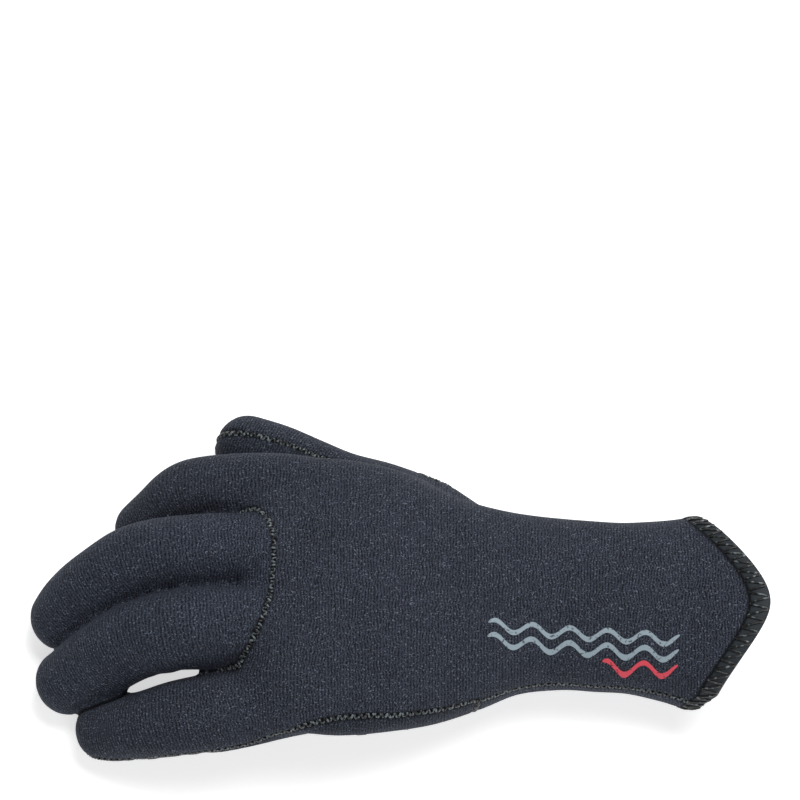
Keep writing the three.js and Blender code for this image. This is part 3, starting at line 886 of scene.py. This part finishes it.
hem.modifiers["Subdivision"].levels = 1
hem.modifiers["Subdivision"].render_levels = 1
bpy.ops.object.modifier_apply(modifier="Subdivision")
soften(hem, 50)
band = Finish("skin_rubber_band", Specular_IOR_Level=0.3, Sheen_Weight=0.03)
pores = band.noise(0.5, 2.0)
scuff = band.noise(9.0, 4.0)
band.feed("Base Color", band.blend(scuff * 0.6 + pores * 0.4, shade(19, 23, 27), shade(54, 61, 67)))
band.feed("Roughness", 0.5 + pores * 0.25)
band.bump(pores + scuff * 0.6, 0.06)
dress(hem, band.material, "hem_band", "cuff_hem")

HEM_PITCH = 4.4
HEM_THREAD = 0.36
HEM_REACH = 0.74  # share of the band that the thread spans
HEM_STEPS = 6  # points to each crossing
low_ring = hand_ring(hem_rows[0], hem_angles, -0.2)
high_ring = hand_ring(hem_rows[round(HEM_REACH * HEM_SHARES)], hem_angles, -0.36)
low_ring = (np.vstack([low_ring, low_ring[:1]]) + MIDDLE_LINE) * MM
high_ring = (np.vstack([high_ring, high_ring[:1]]) + MIDDLE_LINE) * MM
middle = (low_ring + high_ring) / 2
run = np.concatenate([[0], np.cumsum(np.linalg.norm(np.diff(middle, axis=0), axis=1))])
turns = int(run[-1] / (HEM_PITCH * MM))
at = np.linspace(0, run[-1], turns * 2 * HEM_STEPS + 1)
inner_edge = np.stack([np.interp(at, run, low_ring[:, i]) for i in range(3)], 1)
outer_edge = np.stack([np.interp(at, run, high_ring[:, i]) for i in range(3)], 1)
swing = np.abs((np.arange(len(at)) / HEM_STEPS % 2) - 1)
swing = np.clip((swing - 0.5) * 1.5 + 0.5, 0, 1)
out = np.cross(np.gradient(inner_edge, axis=0), outer_edge - inner_edge)
out /= np.linalg.norm(out, axis=1)[:, None]
radial = inner_edge - inner_edge.mean(0)
out *= np.sign((out * radial).sum(1))[:, None]
lift = 0.34 - 0.5 * np.abs(swing * 2 - 1) ** 6
path = inner_edge * (1 - swing[:, None]) + outer_edge * swing[:, None]
path = path + out * (lift * MM)[:, None]
path[:, 2] = np.maximum(path[:, 2], HEM_THREAD * MM)
hem_stitches = thread("hem_zigzag", [(path, out)], HEM_THREAD)
hem_thread = Finish("hem_thread", Roughness=0.34, Specular_IOR_Level=0.6)
strand = hem_thread.noise(0.5, 2.0)
# Pale spots on the near-black thread are painted glints
hem_glints = hem_thread.noise(1.6, 1.0).step(0.55, 0.7)
hem_thread.feed("Base Color", hem_thread.blend(hem_glints * 0.8, shade(5, 6, 7), shade(124, 134, 137)))
hem_thread.feed("Roughness", 0.28 + strand * 0.3)
hem_thread.bump(strand, 0.08)
dress(hem_stitches, hem_thread.material, "hem_band")

# ---------------------------------------------------------------- grip print
# Raised polyurethane rings and dots printed on the palm side for grip, in
# staggered rows that follow the palm's own cut piece.
GRIP_PITCH = 8.6
GRIP_RADIUS = 2.9
GRIP_LINE = 0.75
GRIP_HEIGHT = 0.22
GRIP_ROOT = -0.15  # how far a print's edge sinks into the cloth
GRIP_SLOPE = 0.12
GRIP_SIDES = 6
DOT_RADIUS = 1.05
ROW_SHARE = 0.866  # the rows' distance as a share of the pitch along them
FLOOR_CLEARANCE = 0.02
GRIP_MARGIN = 0.7
SIDE_SLOPE = -0.5  # the little-finger side, steeper than this, is left bare
own = tris[belongs["palm_panel"]]
used = np.unique(own)
index = np.full(len(rows), -1)
index[used] = np.arange(len(used))
cut_piece = mesh_piece("palm_cut", skin[used], index[own])
bpy.ops.object.select_all(action="DESELECT")
cut_piece.select_set(True)
bpy.context.view_layer.objects.active = cut_piece
bpy.ops.object.mode_set(mode="EDIT")
bpy.ops.mesh.select_all(action="SELECT")
bpy.ops.uv.unwrap(method="ANGLE_BASED", margin=0.0)
bpy.ops.object.mode_set(mode="OBJECT")
flat_uv = np.empty(len(cut_piece.data.loops) * 2)
cut_piece.data.uv_layers.active.data.foreach_get("uv", flat_uv)
corners = np.empty(len(cut_piece.data.loops), int)
cut_piece.data.loops.foreach_get("vertex_index", corners)
flat = np.zeros((len(used), 3))
flat[corners, :2] = flat_uv.reshape(-1, 2)
faces = index[own]


def areas(points):
    a, b, c = points[faces[:, 0]], points[faces[:, 1]], points[faces[:, 2]]
    return np.linalg.norm(np.cross(b - a, c - a), axis=1).sum()


flat *= math.sqrt(areas(skin[used]) / areas(flat))
flat_tree = BVHTree.FromPolygons([tuple(p) for p in flat], [tuple(map(int, f)) for f in faces])
edge_far = -rows[used, KEEP["palm"]]
low, high = flat[:, :2].min(0), flat[:, :2].max(0)


def on_palm(u, v, height):
    """A point of the flat cut piece on the palm: its place, how far the seam is, its normal."""
    hit = flat_tree.ray_cast(Vector((u, v, 1)), Vector((0, 0, -1)))
    if hit[0] is None:
        return None
    a, b, c = faces[hit[2]]
    corners = [Vector(flat[i]) for i in (a, b, c)]
    spot = barycentric_transform(hit[0], *corners, *[Vector(skin[used[i]]) for i in (a, b, c)])
    up = Vector(normal[used[a]] + normal[used[b]] + normal[used[c]]).normalized()
    spot += up * height * MM
    spot.z = max(spot.z, FLOOR_CLEARANCE * MM)
    return spot, edge_far[[a, b, c]].min(), up


points, faces_out = [], []
grip_rows = int((high[1] - low[1]) / (GRIP_PITCH * ROW_SHARE * MM)) + 1
grip_columns = int((high[0] - low[0]) / (GRIP_PITCH * MM)) + 1
for line in range(grip_rows):
    for place_in_line in range(grip_columns):
        u = low[0] + (place_in_line + 0.5 * (line % 2)) * GRIP_PITCH * MM
        v = low[1] + line * GRIP_PITCH * ROW_SHARE * MM
        middle = on_palm(u, v, 0)
        if middle is None or middle[1] < GRIP_RADIUS + GRIP_MARGIN:
            continue
        if middle[0].y < 0 and middle[2].z > SIDE_SLOPE:
            continue
        turn = math.pi / 6 * (line % 2)
        for outer, inner, start in (
            (GRIP_RADIUS, GRIP_RADIUS - GRIP_LINE, turn),
            (DOT_RADIUS, 0.0, turn + math.pi / 6),
        ):
            levels = [(outer, GRIP_ROOT), (outer - GRIP_SLOPE, GRIP_HEIGHT)]
            if inner:
                levels += [(inner + GRIP_SLOPE, GRIP_HEIGHT), (inner, GRIP_ROOT)]
            spots = []
            for radius, height in levels:
                for j in range(GRIP_SIDES):
                    a = start + 2 * math.pi * j / GRIP_SIDES
                    du, dv = radius * MM * math.cos(a), radius * MM * math.sin(a)
                    spots.append(on_palm(u + du, v + dv, height))
            if any(s is None for s in spots):
                continue
            base = len(points)
            points += [s[0] for s in spots]
            for j in range(GRIP_SIDES):
                k = (j + 1) % GRIP_SIDES
                for level in range(4 if inner else 1):
                    after = (level + 1) % 4
                    a, b = base + level * GRIP_SIDES, base + after * GRIP_SIDES
                    faces_out.append((a + j, a + k, b + k, b + j))
            if not inner:
                faces_out.append(tuple(base + GRIP_SIDES + j for j in range(GRIP_SIDES)))
                faces_out.append(tuple(base + j for j in range(GRIP_SIDES))[::-1])
bpy.data.objects.remove(cut_piece)
grip = mesh_piece("grip_print", points, faces_out)
bm = bmesh.new()
bm.from_mesh(grip.data)
bmesh.ops.recalc_face_normals(bm, faces=bm.faces)
bm.to_mesh(grip.data)
bm.free()
ink = Finish("grip_rubber", Specular_IOR_Level=0.6)
speck = ink.noise(0.8, 2.0)
worn = ink.noise(12.0, 3.0)
ink.feed("Base Color", ink.blend(worn.step(0.5, 0.7) * 0.7, shade(9, 10, 12), shade(46, 50, 53)))
ink.feed("Roughness", 0.2 + speck * 0.35)
ink.bump(speck, 0.05)
dress(grip, ink.material, "neoprene_palm")

# --------------------------------------------------------- floor and lights
# A plain pale sheet that the glove lies on by itself, under two soft studio
# lights, seen from high above its little-finger side.
bpy.ops.mesh.primitive_plane_add(size=6.0, location=(0, 0, 0))
sheet = bpy.context.object
sheet.name = "pale_floor"
floor = Finish("pale_floor", Roughness=0.9, Specular_IOR_Level=0.1, Emission_Strength=0.62)
floor.shader.inputs["Emission Color"].default_value = (1, 1, 1, 1)
mottle = floor.noise(90.0, 2.0)
floor.feed("Base Color", floor.blend(mottle, shade(243, 243, 244), shade(249, 249, 250)))
sheet.data.materials.append(floor.material)

world = bpy.data.worlds.new("studio")
world.use_nodes = True
world.node_tree.nodes["Background"].inputs["Color"].default_value = (1, 1, 1, 1)
world.node_tree.nodes["Background"].inputs["Strength"].default_value = 0.13
bpy.context.scene.world = world
bpy.context.scene.view_settings.view_transform = "Standard"

for name, spot, size, power in (
    ("key", (0.55, 0.75, 1.95), 1.3, 37.5),
    ("front_fill", (0.3, -1.3, 1.6), 1.2, 9.0),
):
    lamp_data = bpy.data.lights.new(name, "AREA")
    lamp_data.size = size
    lamp_data.energy = power
    lamp = bpy.data.objects.new(name, lamp_data)
    bpy.context.scene.collection.objects.link(lamp)
    lamp.location = spot
    lamp.rotation_euler = (-Vector(spot)).to_track_quat("-Z", "Y").to_euler()

ELEVATION = math.radians(70)
CAMERA_REACH = 2.6
FRAME_WIDTH = 0.283
VIEW_DROP = 80.5  # how far the glove lies below the middle of the picture
aim = Vector((0, (VIEW_DROP / math.sin(ELEVATION) + MIDDLE_LINE[1]) * MM, 0))
camera_data = bpy.data.cameras.new("view")
camera_data.sensor_width = 36
camera_data.lens = 36 * CAMERA_REACH / FRAME_WIDTH
camera = bpy.data.objects.new("view", camera_data)
bpy.context.scene.collection.objects.link(camera)
camera.location = aim + CAMERA_REACH * Vector((0, -math.cos(ELEVATION), math.sin(ELEVATION)))
camera.rotation_euler = (math.pi / 2 - ELEVATION, 0, 0)
bpy.context.scene.camera = camera
